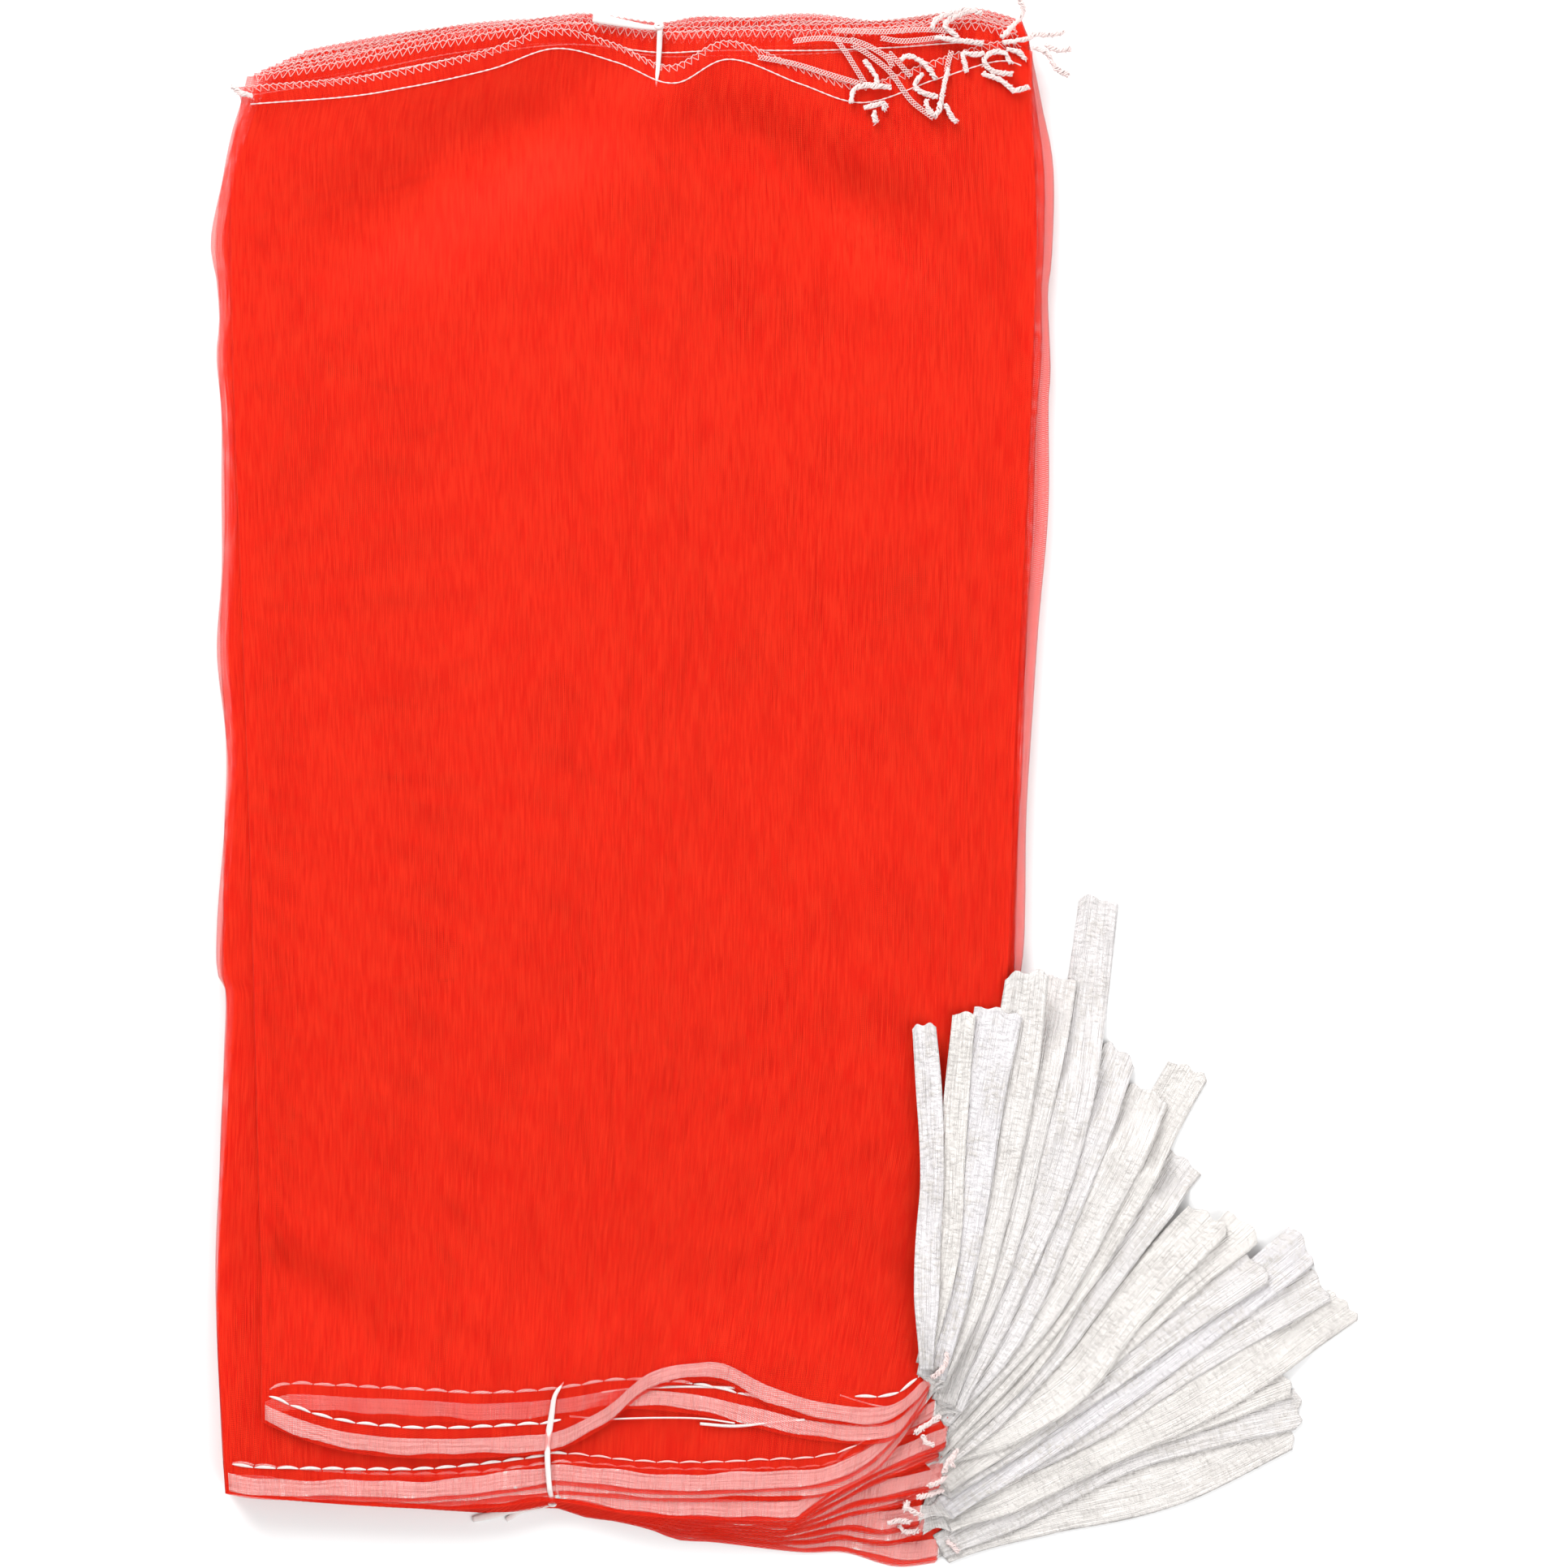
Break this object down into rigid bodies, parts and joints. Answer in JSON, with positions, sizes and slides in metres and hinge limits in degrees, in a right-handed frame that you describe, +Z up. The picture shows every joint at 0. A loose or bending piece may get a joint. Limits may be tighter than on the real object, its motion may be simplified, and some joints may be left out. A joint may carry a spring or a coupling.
{
  "type": "mesh ball bag",
  "caption": "Tied bundle of flat-folded mesh drawstring sacks, with sewn closed ends, hemmed mouths and flat drawstring tapes that slide in the hems.",
  "frame": {"origin": "on the resting face, midway along and across the pile of sacks", "axes": "+X across the sacks towards the drawstring tails, +Y from the mouths to the closed ends, +Z up through the pile"},
  "size_m": [0.3986, 0.5345, 0.0187],
  "materials": {
    "red_mesh": "fine knitted mesh, satin",
    "white_tape": "crinkled pearly knitted tape",
    "white_thread": "fluffy textured sewing thread",
    "tie_plastic": "satin flat strip"
  },
  "bodies": {
    "bundle": {"sack_01": "red_mesh", "hem_thread_01": "white_thread", "seam_thread_01": "white_thread", "sack_02": "red_mesh", "hem_thread_02": "white_thread", "seam_thread_02": "white_thread", "sack_03": "red_mesh", "hem_thread_03": "white_thread", "seam_thread_03": "white_thread", "sack_04": "red_mesh", "hem_thread_04": "white_thread", "seam_thread_04": "white_thread", "sack_05": "red_mesh", "hem_thread_05": "white_thread", "seam_thread_05": "white_thread", "sack_06": "red_mesh", "hem_thread_06": "white_thread", "seam_thread_06": "white_thread", "sack_07": "red_mesh", "hem_thread_07": "white_thread", "seam_thread_07": "white_thread", "sack_08": "red_mesh", "hem_thread_08": "white_thread", "seam_thread_08": "white_thread", "sack_09": "red_mesh", "hem_thread_09": "white_thread", "seam_thread_09": "white_thread", "sack_10": "red_mesh", "hem_thread_10": "white_thread", "seam_thread_10": "white_thread", "tie_top": "tie_plastic", "tie_bottom": "tie_plastic"},
    "string_01": {"drawstring_01": "white_tape", "drawstring_tails_01": "white_tape"},
    "string_02": {"drawstring_02": "white_tape", "drawstring_tails_02": "white_tape"},
    "string_03": {"drawstring_03": "white_tape", "drawstring_tails_03": "white_tape"},
    "string_04": {"drawstring_04": "white_tape", "drawstring_tails_04": "white_tape"},
    "string_05": {"drawstring_05": "white_tape", "drawstring_tails_05": "white_tape"},
    "string_06": {"drawstring_06": "white_tape", "drawstring_tails_06": "white_tape"},
    "string_07": {"drawstring_07": "white_tape", "drawstring_tails_07": "white_tape"},
    "string_08": {"drawstring_08": "white_tape", "drawstring_tails_08": "white_tape"},
    "string_09": {"drawstring_09": "white_tape", "drawstring_tails_09": "white_tape"},
    "string_10": {"drawstring_10": "white_tape", "drawstring_tails_10": "white_tape"}
  },
  "joints": [
    {"name": "string_01_pull", "type": "slide", "parent": "bundle", "child": "string_01", "axis": [0.9955, 0.0946, 0], "range_m": [0, 0.025]},
    {"name": "string_02_pull", "type": "slide", "parent": "bundle", "child": "string_02", "axis": [0.9921, 0.1252, 0], "range_m": [0, 0.025]},
    {"name": "string_03_pull", "type": "slide", "parent": "bundle", "child": "string_03", "axis": [0.9951, 0.0986, 0], "range_m": [0, 0.025]},
    {"name": "string_04_pull", "type": "slide", "parent": "bundle", "child": "string_04", "axis": [0.9975, 0.0703, 0], "range_m": [0, 0.025]},
    {"name": "string_05_pull", "type": "slide", "parent": "bundle", "child": "string_05", "axis": [0.9992, 0.0408, 0], "range_m": [0, 0.025]},
    {"name": "string_06_pull", "type": "slide", "parent": "bundle", "child": "string_06", "axis": [0.9999, 0.0125, 0], "range_m": [0, 0.025]},
    {"name": "string_07_pull", "type": "slide", "parent": "bundle", "child": "string_07", "axis": [0.9999, -0.0166, 0], "range_m": [0, 0.025]},
    {"name": "string_08_pull", "type": "slide", "parent": "bundle", "child": "string_08", "axis": [0.999, -0.0451, 0], "range_m": [0, 0.025]},
    {"name": "string_09_pull", "type": "slide", "parent": "bundle", "child": "string_09", "axis": [0.9972, -0.0751, 0], "range_m": [0, 0.025]},
    {"name": "string_10_pull", "type": "slide", "parent": "bundle", "child": "string_10", "axis": [0.9947, -0.1033, 0], "range_m": [0, 0.025]}
  ]
}
